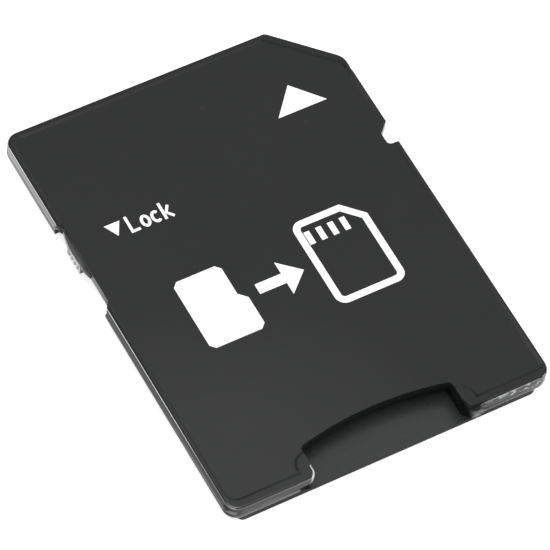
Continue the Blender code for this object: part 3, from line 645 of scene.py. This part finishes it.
lead_in_grain = contact_plastic.noise(LEAD_IN_GRAIN, detail=3.0, roughness=0.6)
lead_in_highlight = contact_plastic.product(
    contact_plastic.near(LEAD_IN_HIGHLIGHT_AT, LEAD_IN_HIGHLIGHT_REACH),
    contact_plastic.masked(upward, LEAD_IN_HIGHLIGHT, 0.0),
    contact_plastic.between(lead_in_grain, LEAD_IN_LEAST, 1.0, LEAD_IN_SPREAD),
)
rub_and_painted_light = contact_plastic.blend(lead_in_highlight, rub_and_painted_light, CONTACT_HIGHLIGHT_COLOUR)
edge_highlight = contact_plastic.product(
    contact_plastic.between(contact_place["Z"], 0.0, EDGE_HIGHLIGHT, EDGE_HIGHLIGHT_LOW),
    contact_plastic.between(contact_place["Z"], 1.0, 0.0, EDGE_HIGHLIGHT_HIGH),
    contact_plastic.between(contact_facing["Y"], 1.0, 0.0, REAR_HIGHLIGHT_FACING),
)
contact_plastic.set("Base Color", contact_plastic.blend(edge_highlight, rub_and_painted_light, CONTACT_HIGHLIGHT_COLOUR))

contact_side = moulded_copy("bottom_shell", "contact_side_shell")
contact_side.data.materials.append(contact_plastic.material)
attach(contact_side, "housing")
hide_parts("bottom_shell")


# The carrier is a dull black insulator, moulded over the fan of leads, and lies in its chamber
# between the shells. Its rear face stops the small card.
carrier_plastic = MouldedPlastic(
    "dull_carrier",
    dark=(0.010, 0.010, 0.010, 1),
    light=(0.016, 0.016, 0.015, 1),
    roughness=(0.52, 0.62),
    polish=0.45,
    grain=6000,
    grain_depth=5e-6,
)

carrier = moulded_copy("contact_carrier", "carrier_moulding")
carrier.data.materials.append(carrier_plastic.material)
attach(carrier, "housing")
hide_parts("contact_carrier")


# The eight leads are stamped from one strip of spring bronze, bent into tongues at the slot's end and
# plated with gold. Two of the nine pads share a lead.
LEADS = 8
GOLD_DRIFT = 420
GOLD_STREAKS = 2600
GOLD_STRETCH = (1.0, 0.06, 1.0)
GOLD_DEEP = (0.80, 0.55, 0.20, 1)
GOLD_PALE = (0.90, 0.68, 0.32, 1)
GOLD_ROUGHNESS = (0.18, 0.32)
GOLD_STRENGTH = 0.25
STREAK_DEPTH = 2e-6

gold = Material("gold_plated_strip")
gold_drift = gold.noise(GOLD_DRIFT, detail=3.0, roughness=0.5)
gold_streaks = gold.noise(GOLD_STREAKS, detail=4.0, roughness=0.6, stretch=GOLD_STRETCH)
gold.set("Base Color", gold.blend(gold.between(gold_drift, 0.0, 1.0), GOLD_DEEP, GOLD_PALE))
gold.set("Metallic", 1.0)
gold.set("Roughness", gold.between(gold_streaks, *GOLD_ROUGHNESS))
gold.bump(gold_streaks, GOLD_STRENGTH, STREAK_DEPTH)

for number in range(1, LEADS + 1):
    lead = moulded_copy(f"contact_lead_{number}", f"plated_lead_{number}")
    lead.data.materials.append(gold.material)
    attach(lead, "housing")
    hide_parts(f"contact_lead_{number}")


# The leaf spring is a strip of stainless steel on edge beside the slot, held in its groove by its ends.
# Its bump presses on the small card's side and holds it in.
STEEL_STREAKS = 3000
STEEL_STRETCH = (0.05, 0.05, 1.0)
STEEL_DARK = (0.50, 0.50, 0.49, 1)
STEEL_PALE = (0.64, 0.63, 0.62, 1)
STEEL_ROUGHNESS = (0.24, 0.38)
STEEL_STRENGTH = 0.3

steel = Material("rolled_spring_steel")
steel_streaks = steel.noise(STEEL_STREAKS, detail=4.0, roughness=0.6, stretch=STEEL_STRETCH)
steel.set("Base Color", steel.blend(steel.between(steel_streaks, 0.0, 1.0), STEEL_DARK, STEEL_PALE))
steel.set("Metallic", 1.0)
steel.set("Roughness", steel.between(steel_streaks, *STEEL_ROUGHNESS))
steel.bump(steel_streaks, STEEL_STRENGTH, STREAK_DEPTH)

leaf = moulded_copy("retention_spring", "card_leaf_spring")
leaf.data.materials.append(steel.material)
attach(leaf, "housing")
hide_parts("retention_spring")


# The lock slider is a small moulding in a greyer, shinier plastic. Its hooked foot snaps into the
# groove behind the rail, and the ribs on its side give the fingernail a grip. It shines evenly, apart
# from the dull rear end of its cap.
slider_plastic = MouldedPlastic(
    "grey_slider",
    dark=(0.040, 0.040, 0.042, 1),
    light=(0.052, 0.052, 0.054, 1),
    roughness=(0.26, 0.34),
    polish=0.16,
    grain=8000,
    grain_depth=3e-6,
)

CAP_END_AT = (-11.8e-3, 4.1e-3, 1.7e-3)
CAP_END_REACH = 0.8e-3
CAP_END_SHARE = 0.1

cap_end = slider_plastic.masked(slider_plastic.near(CAP_END_AT, CAP_END_REACH), 1.0, CAP_END_SHARE)
slider_plastic.set("Specular IOR Level", slider_plastic.product(cap_end, MOULD_GLOSS))

slider = moulded_copy("lock_slider", "lock_slider_moulding")
slider.data.materials.append(slider_plastic.material)
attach(slider, "slider")
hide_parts("lock_slider")


# The surface is a wide plain white sheet, which the camera and the object's gloss see a little lighter
# than the lamps make it. Two pools of light on the sheet show in the object's gloss alone: one off the
# left edge's front end, and a small weak one off the slider.
FLOOR_HALF = 1.5
FLOOR_GAP = 0.02e-3
SHEET_COLOUR = (0.80, 0.80, 0.80, 1)
SHEET_ROUGHNESS = 0.9
SHEET_LIFT = 0.6
POOL_LIGHT = 4.5
POOL_FRONT = (8.0e-3, 8.8e-3)
POOL_LEFT = (-12.7e-3, -12.2e-3)
SLIDER_POOL_LIGHT = 1.0
SLIDER_POOL_AT = (-12.4e-3, 5.9e-3, 0.0)
SLIDER_POOL_REACH = 1.5e-3

sheet = Material("white_sheet")
sheet.set("Base Color", SHEET_COLOUR)
sheet.set("Roughness", SHEET_ROUGHNESS)
sheet.set("Specular IOR Level", 0.0)
sheet.set("Emission Color", (1, 1, 1, 1))
rays = sheet.add("ShaderNodeLightPath").outputs
seen = sheet.math("MAXIMUM", rays["Is Camera Ray"], rays["Is Transmission Ray"])
seen = sheet.math("MAXIMUM", seen, rays["Is Glossy Ray"])
sheet_place = sheet.axes("Object")
edge_pool = sheet.product(
    sheet.between(sheet_place["Y"], 0.0, POOL_LIGHT, POOL_FRONT),
    sheet.between(sheet_place["X"], 1.0, 0.0, POOL_LEFT),
)
slider_pool = sheet.product(sheet.near(SLIDER_POOL_AT, SLIDER_POOL_REACH), SLIDER_POOL_LIGHT)
pools = sheet.product(sheet.math("MAXIMUM", edge_pool, slider_pool), rays["Is Glossy Ray"])
sheet.set("Emission Strength", sheet.math("ADD", sheet.product(seen, SHEET_LIFT), pools))

bpy.ops.mesh.primitive_plane_add(size=2 * FLOOR_HALF)
floor = bpy.context.object
floor.name = "white_surface"
floor.data.transform(Matrix.Translation((0, 0, -FLOOR_GAP)))
floor.data.materials.append(sheet.material)


# The room is white and even to light that scatters. The camera and the object's gloss see a sky that is
# lightest overhead, towards the front right, and a low run of panels from the left round to the rear,
# which is brighter at the left and brightest at one place between the two.
AMBIENT = 0.75
SKY_LOW = 0.30
SKY_HIGH = 0.77
SKY_FADE = (0.78, 0.93)
SKY_TOP = (0.45, 0.25, 0.86)
EDGE_LIGHT = 1.5
EDGE_SIDE = (-0.95, 0.0, 0.31)
EDGE_ENDS = (0.45, 0.75)
CORNER_LIGHT = 3.0
CORNER_SIDE = (-0.72, -0.58, 0.38)
CORNER_ENDS = (0.90, 0.98)
PANEL_LIGHT = 0.83
PANEL_SIDE = (-0.77, -0.64, 0.0)
PANEL_ENDS = (0.05, 0.30)
PANEL_FOOT = (0.02, 0.18)
PANEL_HEAD = (0.52, 0.34)

world = bpy.data.worlds.new("white_room")
bpy.context.scene.world = world
world.use_nodes = True
room = Nodes(world.node_tree)
background = room.tree.nodes["Background"]
background.inputs["Color"].default_value = (1, 1, 1, 1)
room_place = room.add("ShaderNodeTexCoord")


def room_along(direction):
    """How far a ray's direction lies along another direction, from -1 to 1."""
    along = room.add("ShaderNodeVectorMath", operation="DOT_PRODUCT")
    along.inputs[1].default_value = direction
    room.join(room_place.outputs["Generated"], along.inputs[0])
    return along.outputs["Value"]


room_rays = room.add("ShaderNodeLightPath").outputs
room_seen = room.math("MAXIMUM", room_rays["Is Camera Ray"], room_rays["Is Glossy Ray"])
sky = room.between(room_along(SKY_TOP), SKY_LOW, SKY_HIGH, SKY_FADE)
height = room_along((0, 0, 1))
panel_height = room.product(
    room.between(height, 0.0, 1.0, PANEL_FOOT), room.between(height, 0.0, 1.0, PANEL_HEAD)
)
panel_run = room.between(room_along(PANEL_SIDE), 0.0, PANEL_LIGHT, PANEL_ENDS)
edge_run = room.between(room_along(EDGE_SIDE), 0.0, EDGE_LIGHT, EDGE_ENDS)
corner_run = room.between(room_along(CORNER_SIDE), 0.0, CORNER_LIGHT, CORNER_ENDS)
panel_run = room.math("ADD", room.math("ADD", panel_run, edge_run), corner_run)
room_level = room.add("ShaderNodeMix", {"A": AMBIENT})
room.join(room_seen, room_level.inputs["Factor"])
room.join(room.math("ADD", sky, room.product(panel_height, panel_run)), room_level.inputs["B"])
room.join(room_level.outputs["Result"], background.inputs["Strength"])


def lamp(name, place, target, size, power):
    """A rectangular area lamp at a place, facing a target."""
    light = bpy.data.lights.new(name, "AREA")
    light.shape = "RECTANGLE"
    light.size, light.size_y = size
    light.energy = power
    holder = bpy.data.objects.new(name, light)
    holder.location = place
    holder.rotation_euler = (Vector(target) - Vector(place)).to_track_quat("-Z", "Y").to_euler()
    bpy.context.scene.collection.objects.link(holder)


# One broad lamp hangs overhead. A small low one at the left lights that edge's front end, one at the
# right lights the pale patches painted as highlights on the rear wall, and one farther right lights the
# mouth's left corner.
lamp("overhead", place=(-0.15, -0.05, 1.1), target=(0, 0, 0), size=(0.9, 0.9), power=6.0)
lamp(
    "left_panel",
    place=(-0.088, 0.045, 0.012),
    target=(-0.012, 0.011, 0.002),
    size=(0.03, 0.02),
    power=0.02,
)
lamp(
    "right_panel",
    place=(0.045, -0.10, 0.03),
    target=(0.008, -0.016, 0.002),
    size=(0.03, 0.02),
    power=0.006,
)
lamp(
    "mouth_panel",
    place=(0.12, -0.085, 0.034),
    target=(-0.006, -0.016, 0.001),
    size=(0.04, 0.03),
    power=0.08,
)


# The camera looks down on the label side from the rear left, slightly rolled, through a long lens.
AZIMUTH = math.radians(-36.534)
ELEVATION = math.radians(57.102)
ROLL = math.radians(9.167)
DISTANCE = 0.300
AIM = Vector((-0.356e-3, -0.881e-3, 1.0e-3))
SENSOR = 36.0
LENS = 297.67
NEAREST = 0.01

back = Vector(
    (
        math.sin(AZIMUTH) * math.cos(ELEVATION),
        -math.cos(AZIMUTH) * math.cos(ELEVATION),
        math.sin(ELEVATION),
    )
)
level_right = Vector((math.cos(AZIMUTH), math.sin(AZIMUTH), 0))
level_up = back.cross(level_right)
right = math.cos(ROLL) * level_right + math.sin(ROLL) * level_up
up = math.cos(ROLL) * level_up - math.sin(ROLL) * level_right
turn = Matrix((right, up, back)).transposed().to_4x4()
camera_data = bpy.data.cameras.new("camera")
camera_data.lens = LENS
camera_data.sensor_width = SENSOR
camera_data.clip_start = NEAREST
camera = bpy.data.objects.new("camera", camera_data)
camera.matrix_world = Matrix.Translation(AIM + DISTANCE * back) @ turn
bpy.context.scene.collection.objects.link(camera)
bpy.context.scene.camera = camera

bpy.context.scene.view_settings.view_transform = "Standard"
